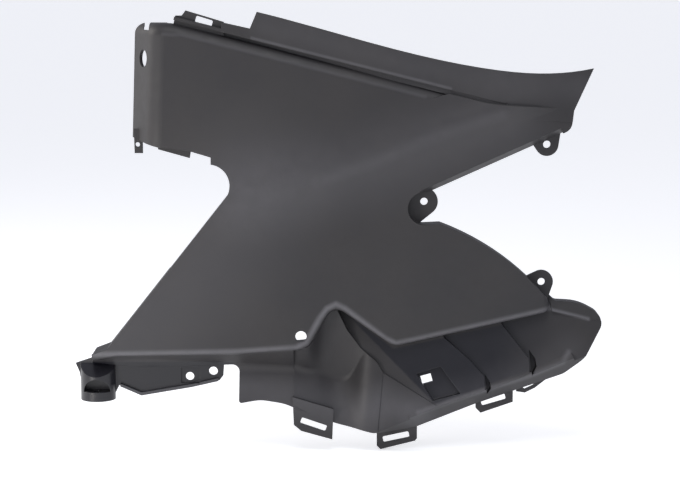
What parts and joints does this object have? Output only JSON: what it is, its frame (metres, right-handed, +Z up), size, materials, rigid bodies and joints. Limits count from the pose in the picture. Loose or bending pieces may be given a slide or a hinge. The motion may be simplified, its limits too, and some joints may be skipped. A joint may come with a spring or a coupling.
{
  "type": "scooter leg shield",
  "caption": "Thin moulded scooter leg shield with a turned-back flange, screw ears, slotted hook tabs and a stepped louvre apron.",
  "frame": {"origin": "centre of the notch ear's screw hole, on the ear's front face", "axes": "+X along the vehicle to the nose end, +Z up, -Y out of the visible face"},
  "size_m": [0.4235, 0.0508, 0.354],
  "materials": {
    "moulded_plastic": "fine moulded grain, charcoal black"
  },
  "bodies": {
    "root": {"leg_shield": "moulded_plastic"}
  },
  "joints": []
}
